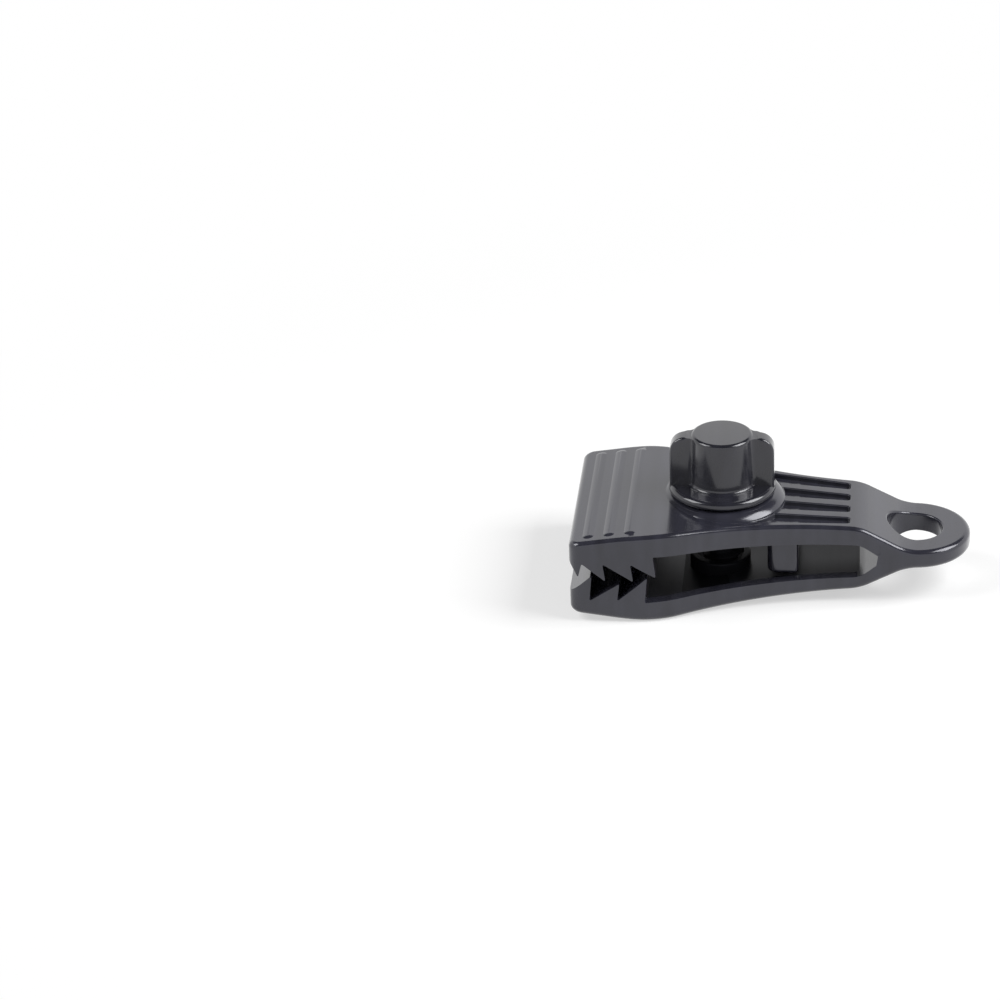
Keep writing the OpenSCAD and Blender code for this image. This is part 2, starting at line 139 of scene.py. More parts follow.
# Screw, its boss and collar, and the stop block
SCREW_X = 28
BOSS_RADIUS = 11.35
BOSS_TOP = 18.45
BOSS_FLAT_RADIUS = 9.3
BOSS_EDGE = 3.2
BOSS_FOOT_ANGLE = 35
BOSS_MARGIN = 0.67
HUB_RADIUS = 6
HUB_BOTTOM = 12.64
SHANK_RADIUS = 3.9
SHANK_GAP = 0.08
COLLAR_RADIUS = 5.8
COLLAR_TOP = 5.1
COLLAR_EDGE = 0.4
SLOT_RADIUS = 4.1
SLOT_PLAY = 0.9
STOP_X = SCREW_X + 11.7
STOP_LENGTH = 5.8
STOP_WIDTH = 19
STOP_BOTTOM = 5.4
STOP_CORNER = 1.8
STOP_REAR_CORNER = 0.8
STOP_EDGE = 0.7

# Knob and stem
FLANGE_BOTTOM = 18.8
FLANGE_TOP = 20.3
FLANGE_RADIUS = 10.2
FLANGE_EDGE = 1.05
FLANGE_FOOT_EDGE = 0.4
CORE_BASE_RADIUS = 6.2
CORE_TOP_RADIUS = 5.9
KNOB_TOP = 30.3
WING_TOP = 29.9
WING_BOTTOM = FLANGE_TOP - 1
WING_HALF_SPAN = 9.9
WING_THICKNESS = 3.5
WING_DRAFT = 1
WING_CORNER = 3
WING_FILLET = 1.2
WING_EDGE = 0.6
CORE_FILLET = 0.7
KNOB_EDGE = 0.75
THREAD_CORE_RADIUS = 2.9
THREAD_RADIUS = 3.7
THREAD_PITCH = 3
THREAD_FOOT = 2
THREAD_CREST = 0.7
THREAD_STEPS = 120
STEM_STEPS = 64
STEM_CHAMFER = 0.8
SCREW_END = 0.958

# The crown's arc runs into straight stretches on both sides
CROWN_CENTRE_Z = BODY_HEIGHT - CROWN_RADIUS
TIP_TANGENT_X = CROWN_X - CROWN_RADIUS * math.sin(TIP_SLOPE)
ARM_TANGENT_X = CROWN_X + CROWN_RADIUS * math.sin(ARM_SLOPE)


def face_z(x):
    """Height of the upper face at a distance x from the jaw tips, up to the knee."""
    if x < TIP_TANGENT_X:
        tangent_z = CROWN_CENTRE_Z + CROWN_RADIUS * math.cos(TIP_SLOPE)
        return tangent_z - (TIP_TANGENT_X - x) * math.tan(TIP_SLOPE)
    if x < ARM_TANGENT_X:
        return CROWN_CENTRE_Z + math.sqrt(CROWN_RADIUS**2 - (x - CROWN_X) ** 2)
    tangent_z = CROWN_CENTRE_Z + CROWN_RADIUS * math.cos(ARM_SLOPE)
    return tangent_z - (x - ARM_TANGENT_X) * math.tan(ARM_SLOPE)


LIP_Z = face_z(0)
KNEE_Z = face_z(KNEE_X)
NECK_END_X = KNEE_X + (KNEE_Z - EYELET_TOP) / math.tan(NECK_SLOPE)

# The shoulder's arc runs on smoothly into the waist's arc
ARC_SUM = ((WAIST_X - SHOULDER_X) ** 2 + (JAW_HALF - NECK_HALF) ** 2) / (2 * (JAW_HALF - NECK_HALF))
WAIST_RADIUS = ARC_SUM - SHOULDER_RADIUS


def half_width(x, inset):
    """Half the width of the plan at a distance x from the jaw tips, drawn in by inset."""
    if x < FRONT_CORNER:
        return JAW_HALF - FRONT_CORNER + math.sqrt(max(0, FRONT_CORNER**2 - (FRONT_CORNER - x) ** 2))
    if x < SHOULDER_X:
        return JAW_HALF - inset
    shoulder = SHOULDER_RADIUS - inset
    if x < SHOULDER_X + (WAIST_X - SHOULDER_X) * shoulder / ARC_SUM:
        return JAW_HALF - SHOULDER_RADIUS + math.sqrt(shoulder**2 - (x - SHOULDER_X) ** 2)
    if x < WAIST_X:
        return NECK_HALF + WAIST_RADIUS - math.sqrt((WAIST_RADIUS + inset) ** 2 - (WAIST_X - x) ** 2)
    if x < EYELET_X:
        share = (x - WAIST_X) / (EYELET_X - WAIST_X)
        return NECK_HALF + (EYELET_RADIUS - NECK_HALF) * share**2 * (3 - 2 * share)
    return math.sqrt(max(0, EYELET_RADIUS**2 - (x - EYELET_X) ** 2))


def turned_over(path):
    """The same side outline for the lower arm."""
    return [(x, BODY_HEIGHT - z) for x, z in path]


def upper_face(start, end, drop):
    """Corner points of the upper face between two distances from the jaw tips, lowered by drop."""
    crown = [CROWN_X + CROWN_RADIUS * math.sin(math.radians(a)) for a in range(-8, 5)]
    places = [start, *[x for x in crown if start < x < end], end]
    return [(x, face_z(x) - drop) for x in places]


def across_edges(bm, x, z):
    """The edges that run right across the bar at one corner of its side outline."""
    return [
        e for e in bm.edges
        if all(abs(v.co.x - x) < NEAR and abs(v.co.z - z) < NEAR for v in e.verts)
    ]


def rounded(bm, edges, width, segments):
    """Rounds edges over a width on each side of them."""
    bmesh.ops.bevel(
        bm, geom=edges, offset=width, offset_type="OFFSET", segments=segments, profile=0.5,
        affect="EDGES", material=-1,
    )


def round_corners(bm, corners, radius, segments):
    """Rounds corners of the bar's side outline to a radius."""
    for x, z in corners:
        edges = across_edges(bm, x, z)
        rounded(bm, edges, radius * math.tan(edges[0].calc_face_angle() / 2), segments)


# Faces of the bar's two sides carry this mark while the rims are found
SIDE = 1


def bar(outline):
    """A bar right across the clip with that side outline."""
    bm = bmesh.new()
    side = bm.faces.new([bm.verts.new((x, -JAW_HALF, z)) for x, z in outline])
    raised = bmesh.ops.extrude_face_region(bm, geom=[side])["geom"]
    far_side = [v for v in raised if isinstance(v, bmesh.types.BMVert)]
    bmesh.ops.translate(bm, verts=far_side, vec=(0, 2 * JAW_HALF, 0))
    bmesh.ops.recalc_face_normals(bm, faces=bm.faces)
    for face in bm.faces:
        if abs(face.normal.y) > 0.9:
            face.material_index = SIDE
    return bm


def draw_in(bm, stations, inset):
    """Cuts the bar at the stations and draws its sides in to the plan."""
    for x in stations:
        bmesh.ops.bisect_plane(
            bm, geom=[*bm.verts, *bm.edges, *bm.faces], plane_co=(x, 0, 0), plane_no=(1, 0, 0),
            dist=CUT_NEAR,
        )
    for v in bm.verts:
        v.co.y = math.copysign(half_width(v.co.x, inset), v.co.y)
    bmesh.ops.remove_doubles(bm, verts=bm.verts, dist=JOIN_NEAR)
    bmesh.ops.dissolve_limit(bm, angle_limit=FLAT, verts=bm.verts, edges=bm.edges, delimit={"MATERIAL"})


def spread(start, end, steps):
    """Evenly spaced values from start to end, with both of them."""
    return [start + (end - start) * k / steps for k in range(steps + 1)]


def joined_up(edges):
    """The edges as groups that hang together, lowest first."""
    left, groups = set(edges), []
    while left:
        group, new = [], [left.pop()]
        while new:
            edge = new.pop()
            group.append(edge)
            linked = {e for v in edge.verts for e in v.link_edges if e in left}
            left -= linked
            new += linked
        groups.append(group)
    return sorted(groups, key=lambda g: sum(v.co.z for e in g for v in e.verts) / len(g))


def rims(bm):
    """The rim of the lower face, the rim of the gap and the rim of the upper face."""
    blunt, sharp = math.radians(12), math.radians(40)
    found = []
    for e in bm.edges:
        between = {f.material_index for f in e.link_faces} == {0, SIDE} and e.calc_face_angle() > blunt
        front = all(v.co.x < NEAR for v in e.verts) and e.calc_face_angle() > sharp
        if between or front:
            found.append(e)
    return joined_up(found)


def whole_moulding():
    """Both arms and the eyelet in one skin, with every rim rounded."""
    neck = [(NECK_END_X, EYELET_TOP), (CLIP_LENGTH, EYELET_TOP)]
    upper = upper_face(0, KNEE_X, 0) + neck
    upper_edge = [*UPPER_TEETH, (KNEE_X, KNEE_Z - UPPER_KNEE_DEPTH)]
    lower_edge = [*LOWER_TEETH, (KNEE_X, BODY_HEIGHT - KNEE_Z + LOWER_KNEE_DEPTH)]
    gap_end = [(GAP_END_X, MIDDLE_Z)]
    bm = bar([*upper, *turned_over(reversed(upper)), *lower_edge, *gap_end, *reversed(upper_edge)])

    bends = [(KNEE_X, KNEE_Z), (NECK_END_X, EYELET_TOP)]
    round_corners(bm, [*bends, *turned_over(bends)], BEND_RADIUS, 8)
    round_corners(bm, [upper_edge[-1], lower_edge[-1]], KNEE_RADIUS, 6)
    round_corners(bm, UPPER_TEETH[2:] + LOWER_TEETH[1:], TOOTH_RADIUS, 3)
    round_corners(bm, gap_end, GAP_END_RADIUS, 6)

    corner = [FRONT_CORNER * (1 - math.cos(math.radians(a))) for a in range(15, 91, 15)]
    eyelet = [EYELET_X + EYELET_RADIUS * math.sin(math.radians(a)) for a in range(0, 90, 5)]
    draw_in(bm, [*corner, *spread(SHOULDER_X, EYELET_X, 44)[:-1], *eyelet], 0)
    for place, width, segments in ((2, UPPER_RIM, 5), (1, GAP_RIM, 2), (0, LOWER_RIM, 5)):
        rounded(bm, rims(bm)[place], width, segments)
    return bm


def hinge():
    """A point of the upper arm's bend line and the way along the arm there."""
    place = next(j for j in frame["joints"] if j["name"] == "jaw_flex")["pos_m"]
    middle = CLIP_LENGTH / 2
    return (
        Vector((place[0] / MM + middle, 0, place[2] / MM)),
        Vector((math.cos(NECK_SLOPE), 0, -math.sin(NECK_SLOPE))),
    )


def cut_apart(bm):
    """Cuts the upper arm and the lower arm off the root and closes the cuts."""
    place, along = hinge()
    everything = [*bm.verts, *bm.edges, *bm.faces]
    bmesh.ops.bisect_plane(bm, geom=everything, plane_co=place, plane_no=(1, 0, 0), dist=CUT_NEAR)
    over = Vector((1, 1, -1))
    lift = Vector((0, 0, BODY_HEIGHT))
    for side, point, normal in ((1, place, along), (-1, lift + place * over, along * over)):
        faces = [
            f for f in bm.faces
            if all(v.co.x > place.x - JOIN_NEAR or (v.co.z - MIDDLE_Z) * side > 0 for v in f.verts)
        ]
        edges = {e for f in faces for e in f.edges}
        verts = {v for f in faces for v in f.verts}
        cut = bmesh.ops.bisect_plane(
            bm, geom=[*verts, *edges, *faces], plane_co=point, plane_no=normal, dist=CUT_NEAR
        )["geom_cut"]
        cut = [e for e in cut if isinstance(e, bmesh.types.BMEdge)]
        bmesh.ops.split_edges(bm, edges=cut)
        bmesh.ops.edgeloop_fill(bm, edges=[e for e in bm.edges if e.is_boundary])


def island(bm, place):
    """A copy of the one closed skin that lies nearest to a point."""
    copy = bm.copy()
    seed = min(copy.verts, key=lambda v: (v.co - Vector(place)).length)
    kept, new = {seed}, [seed]
    while new:
        linked = {e.other_vert(v) for v in new for e in v.link_edges} - kept
        kept |= linked
        new = linked
    bmesh.ops.delete(copy, geom=[v for v in copy.verts if v not in kept], context="VERTS")
    return tidied(copy, SLIVER)


@contextmanager
def opened(mesh):
    """The mesh, open for changes that are written back at the end."""
    bm = bmesh.new()
    bm.from_mesh(mesh)
    yield bm
    bm.to_mesh(mesh)
    bm.free()


def piece_from(name, bm):
    """An object with that mesh, still in millimetres."""
    bmesh.ops.recalc_face_normals(bm, faces=bm.faces)
    mesh = bpy.data.meshes.new(name)
    bm.to_mesh(mesh)
    bm.free()
    piece = bpy.data.objects.new(name, mesh)
    bpy.context.scene.collection.objects.link(piece)
    return piece


def tidied(bm, distance):
    """Joins points and drops faces that are smaller than a distance."""
    bmesh.ops.remove_doubles(bm, verts=bm.verts, dist=distance)
    bmesh.ops.dissolve_degenerate(bm, edges=bm.edges, dist=distance)
    return bm


def combine(piece, tool_bm, operation):
    """Adds a shape to the piece or cuts it out."""
    tool = piece_from("tool", tool_bm)
    step = piece.modifiers.new("step", "BOOLEAN")
    step.operation = operation
    step.solver = "EXACT"
    step.object = tool
    bpy.context.view_layer.update()
    shaped = piece.evaluated_get(bpy.context.evaluated_depsgraph_get())
    mesh = bpy.data.meshes.new_from_object(shaped)
    piece.modifiers.clear()
    old, tool_mesh = piece.data, tool.data
    piece.data = mesh
    bpy.data.objects.remove(tool)
    bpy.data.meshes.remove(old)
    bpy.data.meshes.remove(tool_mesh)
    with opened(mesh) as bm:
        tidied(bm, NEAR)


def soften(piece, wanted, width, segments):
    """Rounds the piece's sharp edges for which wanted(middle point) holds."""
    with opened(piece.data) as bm:
        bmesh.ops.remove_doubles(bm, verts=bm.verts, dist=NEAR)
        bmesh.ops.dissolve_limit(bm, angle_limit=FLAT, verts=bm.verts, edges=bm.edges)
        sharp = [e for e in bm.edges if e.is_manifold and e.calc_face_angle() > SHARP]
        edges = [e for e in sharp if wanted((e.verts[0].co + e.verts[1].co) / 2)]
        rounded(bm, edges, width, segments)


# The outer faces are satin; those between the skirts are duller, with a darker tone that is painted
# shade, and those round the stem are nearly black, a painted shade where the stem stands in deep shadow
OUTSIDE = 0
DULL_INSIDE_PAINTED_SHADE = 1
STEM_PAINTED_SHADE = 2
STEM_PAINTED_SHADE_RADIUS = 6.6


def finish_or_painted_shade_at(p):
    """Which material a point of the moulding gets: the outer satin, the duller inside with painted
    shade, or the nearly black painted shade round the stem. The stop block keeps the outer one.
    """
    near = 0.03
    inner_half = half_width(p.x, SKIRT)
    plate_z = face_z(p.x) - PLATE
    along = LOWER_BLOCK_END - near < p.x < HOLLOW_END_X + near and abs(p.y) < inner_half + near
    deep = abs(p.z - MIDDLE_Z) < plate_z - MIDDLE_Z + near
    clear_of_skirt = abs(p.y) < min(STOP_WIDTH / 2 + near, inner_half - near)
    clear_of_plates = STOP_BOTTOM - near < p.z < plate_z - near
    on_stop = abs(p.x - STOP_X) < STOP_LENGTH / 2 + near and clear_of_skirt and clear_of_plates
    if not along or not deep or on_stop:
        return OUTSIDE
    return STEM_PAINTED_SHADE if screw_distance(p) < STEM_PAINTED_SHADE_RADIUS else DULL_INSIDE_PAINTED_SHADE


def put_in_place(piece):
    """Turns millimetres from the jaw tips into the row's frame and shades the piece smoothly."""
    with opened(piece.data) as bm:
        for face in bm.faces:
            face.smooth = True
            face.material_index = finish_or_painted_shade_at(face.calc_center_median())
        for edge in bm.edges:
            edge.smooth = not (edge.is_manifold and edge.calc_face_angle() > SHADED_SHARP)
    piece.data.transform(Matrix.Scale(MM, 4) @ Matrix.Translation((-CLIP_LENGTH / 2, 0, 0)))
    even = piece.modifiers.new("even_shading", "WEIGHTED_NORMAL")
    even.keep_sharp = True
    even.weight = 50


# Round and long shapes

def turned(profile, steps):
    """A closed shape turned about the Z axis from (radius, height) points that start and end on it."""
    bm = bmesh.new()
    verts = [bm.verts.new((r, 0, z)) for r, z in profile]
    edges = [bm.edges.new(pair) for pair in zip(verts, verts[1:])]
    bmesh.ops.spin(
        bm, geom=[*verts, *edges], cent=(0, 0, 0), axis=(0, 0, 1), angle=2 * math.pi, steps=steps,
        use_merge=True,
    )
    bmesh.ops.remove_doubles(bm, verts=bm.verts, dist=JOIN_NEAR)
    return bm


def arc(centre, radius, start, end, steps):
    """Points of an arc in a profile, with its angles in degrees."""
    angles = [math.radians(a) for a in spread(start, end, steps)]
    return [(centre[0] + radius * math.cos(a), centre[1] + radius * math.sin(a)) for a in angles]


def moved(bm, x, y, z):
    """The shape, shifted."""
    bmesh.ops.translate(bm, verts=bm.verts, vec=(x, y, z))
    return bm


def disc(radius, bottom, top, edge, foot_angle):
    """A disc round the screw with its upper edge rounded, from an angle in degrees up to the flat."""
    rim = arc((radius - edge, top - edge), edge, foot_angle, 90, 7)
    profile = [(0, bottom), (rim[0][0], bottom), *rim, (0, top)]
    return moved(turned(profile, ROUND_STEPS), SCREW_X, 0, 0)


def rod(x, radius, bottom, top):
    """An upright cylinder at a distance x from the jaw tips."""
    profile = [(0, bottom), (radius, bottom), (radius, top), (0, top)]
    return moved(turned(profile, ROUND_STEPS), x, 0, 0)


def upright(plan, bottom, top):
    """A plan raised from a lower to an upper height."""
    bm = bmesh.new()
    face = bm.faces.new([bm.verts.new((x, y, bottom)) for x, y in plan])
    raised = bmesh.ops.extrude_face_region(bm, geom=[face])["geom"]
    upper = [v for v in raised if isinstance(v, bmesh.types.BMVert)]
    bmesh.ops.translate(bm, verts=upper, vec=(0, 0, top - bottom))
    bmesh.ops.recalc_face_normals(bm, faces=bm.faces)
    return bm


def stadium(width, run):
    """A plan with two half-round ends, long in Y."""
    half = width / 2
    return arc((0, run / 2), half, 0, 180, 12) + arc((0, -run / 2), half, 180, 360, 12)


def edges_where(bm, wanted):
    """The edges for which wanted(one end, other end) holds."""
    return [e for e in bm.edges if wanted(*[v.co for v in e.verts])]


# Shapes that are added to the arms or cut out of them

def hollow(start, flip):
    """What is taken out between an arm's skirts."""
    ceiling = upper_face(start, HOLLOW_END_X, PLATE)
    outline = [*ceiling, (HOLLOW_END_X, 0), (start, 0)]
    bm = bar(turned_over(outline) if flip else outline)
    draw_in(bm, spread(start, HOLLOW_END_X, 30)[1:-1], SKIRT)

    def corner(a, b):
        at_end = min(abs(a.x - start), abs(a.x - HOLLOW_END_X)) < NEAR
        return at_end and (a - b).xy.length < NEAR and (a - b).length > PLATE

    rounded(bm, edges_where(bm, corner), HOLLOW_CORNER, 4)
    return bm


def ridge(x):
    """A low ridge with a lens-shaped section and round ends."""
    ball = ((RIDGE_WIDTH / 2) ** 2 + RIDGE_HEIGHT**2) / (2 * RIDGE_HEIGHT)
    flank = math.degrees(math.asin(RIDGE_WIDTH / 2 / ball)) + RIDGE_SUNK_ANGLE
    lens = arc((0, RIDGE_HEIGHT - ball), ball, 90, 90 - flank, 9)
    bm = turned([*lens, (0, -RIDGE_ROOT)], ROUND_STEPS // 2)
    for v in bm.verts:
        if abs(v.co.y) > JOIN_NEAR:
            v.co.y += math.copysign((RIDGE_LENGTH - RIDGE_WIDTH) / 2, v.co.y)
    slope = math.asin((CROWN_X - max(x, TIP_TANGENT_X)) / CROWN_RADIUS)
    bmesh.ops.rotate(bm, verts=bm.verts, cent=(0, 0, 0), matrix=Matrix.Rotation(-slope, 3, "Y"))
    return moved(bm, x, 0, face_z(x))


def groove(y):
    """The space of one groove, which widens from the knee towards the boss."""
    end = GROOVE_END_X - GROOVE_EDGE - GROOVE_SETBACK
    run = end - SCREW_X
    share = run / (run - BOSS_RADIUS)
    far_y = y * (1 + GROOVE_SPREAD * share)
    far_half = GROOVE_WIDTH / 2 * (1 + GROOVE_WIDENING * share)
    half = GROOVE_WIDTH / 2
    plan = [
        (end, y - half), (end, y + half), (SCREW_X, far_y + far_half), (SCREW_X, far_y - far_half),
    ]
    bm = upright(plan, 0, BODY_HEIGHT)
    corners = edges_where(bm, lambda a, b: min(a.x, b.x) > end - NEAR and abs(a.z - b.z) > PLATE)
    rounded(bm, corners, half * GROOVE_CORNER_SHARE, 5)
    for v in bm.verts:
        v.co.z += face_z(v.co.x) - GROOVE_DEPTH
    return bm


def groove_cutter(y):
    """What one groove takes out of the upper arm, which ends at the boss."""
    cutter = piece_from("groove", groove(y))
    combine(cutter, rod(SCREW_X, BOSS_RADIUS + BOSS_MARGIN, 0, 2 * KNOB_TOP), "DIFFERENCE")
    mesh = cutter.data
    bm = bmesh.new()
    bm.from_mesh(mesh)
    bpy.data.objects.remove(cutter)
    bpy.data.meshes.remove(mesh)
    return bm


def stop_block():
    """The block that hangs from the upper arm and stops it on the lower one."""
    half, wide = STOP_LENGTH / 2, STOP_WIDTH / 2
    plan = []
    for side, across, radius, start in (
        (1, 1, STOP_REAR_CORNER, 0), (-1, 1, STOP_CORNER, 90), (-1, -1, STOP_CORNER, 180),
        (1, -1, STOP_REAR_CORNER, 270),
    ):
        plan += arc((side * (half - radius), across * (wide - radius)), radius, start, start + 90, 6)
    bm = upright(plan, STOP_BOTTOM, face_z(STOP_X) - PLATE / 2)
    rounded(bm, edges_where(bm, lambda a, b: max(a.z, b.z) < STOP_BOTTOM + NEAR), STOP_EDGE, 4)
    return moved(bm, STOP_X, 0, 0)


def screw_distance(p):
    """A point's distance from the screw's axis."""
    return math.hypot(p.x - SCREW_X, p.y)


# The pieces of the clip

def upper_arm(skin):
    """The upper arm with its grooves, ridges, boss, hub and stop block."""
    piece = piece_from("upper_arm_moulding", skin)
    combine(piece, hollow(UPPER_BLOCK_END, False), "DIFFERENCE")
    for y in GROOVE_PLACES:
        combine(piece, groove_cutter(y), "DIFFERENCE")

    def groove_edge(p):
        clear_of_rim = abs(p.y) < half_width(p.x, UPPER_RIM + 0.1)
        along = SCREW_X < p.x < GROOVE_END_X + 0.1 and screw_distance(p) > BOSS_RADIUS
        return along and clear_of_rim and abs(p.z - face_z(p.x)) < 0.01

    soften(piece, groove_edge, GROOVE_EDGE, 3)
    for x in RIDGE_PLACES:
        combine(piece, ridge(x), "UNION")
    boss_foot = face_z(SCREW_X + BOSS_RADIUS) - PLATE / 4
    boss = disc(BOSS_FLAT_RADIUS + BOSS_EDGE, boss_foot, BOSS_TOP, BOSS_EDGE, BOSS_FOOT_ANGLE)
    combine(piece, boss, "UNION")
    combine(piece, rod(SCREW_X, HUB_RADIUS, HUB_BOTTOM, boss_foot + PLATE / 4), "UNION")
    combine(piece, stop_block(), "UNION")
    combine(piece, rod(SCREW_X, SHANK_RADIUS + SHANK_GAP, 0, KNOB_TOP), "DIFFERENCE")
    put_in_place(piece)
    return piece


def lower_arm(skin):
    """The lower arm with its slotted collar."""
    piece = piece_from("lower_arm_moulding", skin)
    combine(piece, hollow(LOWER_BLOCK_END, True), "DIFFERENCE")
    collar_foot = BODY_HEIGHT - face_z(SCREW_X) + PLATE / 2
    collar = disc(COLLAR_RADIUS, collar_foot, COLLAR_TOP, COLLAR_EDGE, 0)
    combine(piece, moved(collar, -SLOT_PLAY / 2, 0, 0), "UNION")
    slot = upright([(y, x) for x, y in stadium(2 * SLOT_RADIUS, SLOT_PLAY)], -1, BODY_HEIGHT)
    combine(piece, moved(slot, SCREW_X - SLOT_PLAY / 2, 0, 0), "DIFFERENCE")
    put_in_place(piece)
    return piece


def eyelet(skin):
    """The eyelet with the root of both arms and a wall between the rope hole and the gap."""
    piece = piece_from("eyelet_moulding", skin)
    half = BARREL_HEIGHT / 2
    combine(piece, rod(EYELET_X, BARREL_RADIUS, MIDDLE_Z - half, MIDDLE_Z + half), "UNION")
    combine(piece, rod(EYELET_X, BORE_RADIUS, -1, BODY_HEIGHT + 1), "DIFFERENCE")
    soften(piece, lambda p: abs(math.hypot(p.x - EYELET_X, p.y) - BORE_RADIUS) < 0.03, BORE_EDGE, 4)
    put_in_place(piece)
    return piece


def wing_plan(core_radius, thickness):
    """Plan of both wings with the hollow corners in which they run into the core."""
    half = thickness / 2
    rise = half + WING_FILLET
    reach = math.sqrt((core_radius + WING_FILLET) ** 2 - rise**2)
    lean = math.degrees(math.atan2(rise, reach))
    corner = arc((reach, rise), WING_FILLET, 180 + lean, 270, 6)
    quarter = [*corner, (WING_HALF_SPAN, half)]
    right = quarter + [(x, -y) for x, y in reversed(quarter)]
    return right + [(-x, -y) for x, y in right]


def thumb_knob():
    """The flanged core with two wings, which sits on the boss."""
    foot_edge = FLANGE_FOOT_EDGE
    profile = [
        (0, FLANGE_BOTTOM),
        *arc((FLANGE_RADIUS - foot_edge, FLANGE_BOTTOM + foot_edge), foot_edge, -90, 0, 3),
        *arc((FLANGE_RADIUS - FLANGE_EDGE, FLANGE_TOP - FLANGE_EDGE), FLANGE_EDGE, 0, 90, 7),
        *arc((CORE_BASE_RADIUS + CORE_FILLET, FLANGE_TOP + CORE_FILLET), CORE_FILLET, 270, 180, 4),
        *arc((CORE_TOP_RADIUS - KNOB_EDGE, KNOB_TOP - KNOB_EDGE), KNOB_EDGE, 0, 90, 6),
        (0, KNOB_TOP),
    ]
    piece = piece_from("thumb_knob_moulding", moved(turned(profile, ROUND_STEPS), SCREW_X, 0, 0))
    sunk = 0.02
    base_plan = wing_plan(CORE_BASE_RADIUS - sunk, WING_THICKNESS + WING_DRAFT)
    top_plan = wing_plan(CORE_TOP_RADIUS - sunk, WING_THICKNESS)
    wings = upright(base_plan, WING_BOTTOM, WING_TOP)
    for v in wings.verts:
        if v.co.z > WING_TOP - NEAR:
            place = min(range(len(base_plan)), key=lambda i: (Vector(base_plan[i]) - v.co.xy).length)
            v.co.xy = top_plan[place]

    def tip(a, b):
        return min(a.z, b.z) > WING_TOP - NEAR and min(abs(a.x), abs(b.x)) > WING_HALF_SPAN - NEAR

    def wing_rim(a, b):
        outside = min(abs(a.x), abs(b.x)) > CORE_BASE_RADIUS + WING_FILLET / 2
        on_side = min(abs(a.y), abs(b.y)) > WING_THICKNESS / 2 - NEAR and abs(a.y - b.y) < WING_DRAFT
        return outside and on_side and (a.z + b.z) / 2 > FLANGE_TOP + 0.1

    rounded(wings, edges_where(wings, tip), WING_CORNER, 8)
    rounded(wings, edges_where(wings, wing_rim), WING_EDGE, 4)
    combine(piece, moved(wings, SCREW_X, 0, 0), "UNION")
    put_in_place(piece)
    return piece


def thread():
    """One ridge that winds up the stem and fades out at both ends."""
    turns = (HUB_BOTTOM - SCREW_END - THREAD_FOOT) / THREAD_PITCH - 0.5
    foot, crest, sunk = THREAD_FOOT / 2, THREAD_CREST / 2, 0.1
    root_radius = THREAD_CORE_RADIUS - sunk
    faded_radius = THREAD_CORE_RADIUS - sunk / 2
    section = [
        (root_radius, -foot), (THREAD_RADIUS, -crest), (THREAD_RADIUS, crest), (root_radius, foot),
    ]
    bm = bmesh.new()
    face = bm.faces.new([bm.verts.new((r, 0, z)) for r, z in section])
    bmesh.ops.spin(
        bm, geom=[face], cent=(0, 0, 0), axis=(0, 0, 1), angle=2 * math.pi * turns,
        steps=THREAD_STEPS, dvec=(0, 0, THREAD_PITCH * turns / THREAD_STEPS),
    )
    for v in bm.verts:
        radius = v.co.xy.length
        if radius > THREAD_CORE_RADIUS:
            part = math.atan2(v.co.y, v.co.x) / (2 * math.pi)
            turn = round(v.co.z / THREAD_PITCH - part) + part
            fade = min(1, max(0, 2 * min(turn, turns - turn)))
            v.co.xy *= (faded_radius + fade * (radius - faded_radius)) / radius
    bmesh.ops.recalc_face_normals(bm, faces=bm.faces)
    return moved(bm, SCREW_X, 0, SCREW_END + THREAD_FOOT / 2 + THREAD_PITCH / 4)


def screw_stem():
    """The shank with its single thread."""
    profile = [
        (0, SCREW_END), (THREAD_CORE_RADIUS - STEM_CHAMFER, SCREW_END),
        (THREAD_CORE_RADIUS, SCREW_END + STEM_CHAMFER), (THREAD_CORE_RADIUS, HUB_BOTTOM - STEM_CHAMFER),
        (SHANK_RADIUS, HUB_BOTTOM), (SHANK_RADIUS, FLANGE_BOTTOM), (0, FLANGE_BOTTOM),
    ]
    piece = piece_from("screw_stem_moulding", moved(turned(profile, STEM_STEPS), SCREW_X, 0, 0))
    combine(piece, thread(), "UNION")
    put_in_place(piece)
    return piece


skin = whole_moulding()
cut_apart(skin)
upper = upper_arm(island(skin, (0, 0, LIP_Z)))
lower = lower_arm(island(skin, (0, 0, 0)))
root = eyelet(island(skin, (CLIP_LENGTH, 0, MIDDLE_Z)))
skin.free()
knob = thumb_knob()
stem = screw_stem()

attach(lower, "clip_root")
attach(root, "clip_root")
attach(knob, "thumb_screw")
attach(stem, "thumb_screw")


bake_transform(upper)
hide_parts("upper_jaw")
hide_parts("lower_jaw")
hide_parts("eyelet")
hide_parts("thumb_knob")
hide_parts("screw_stem")
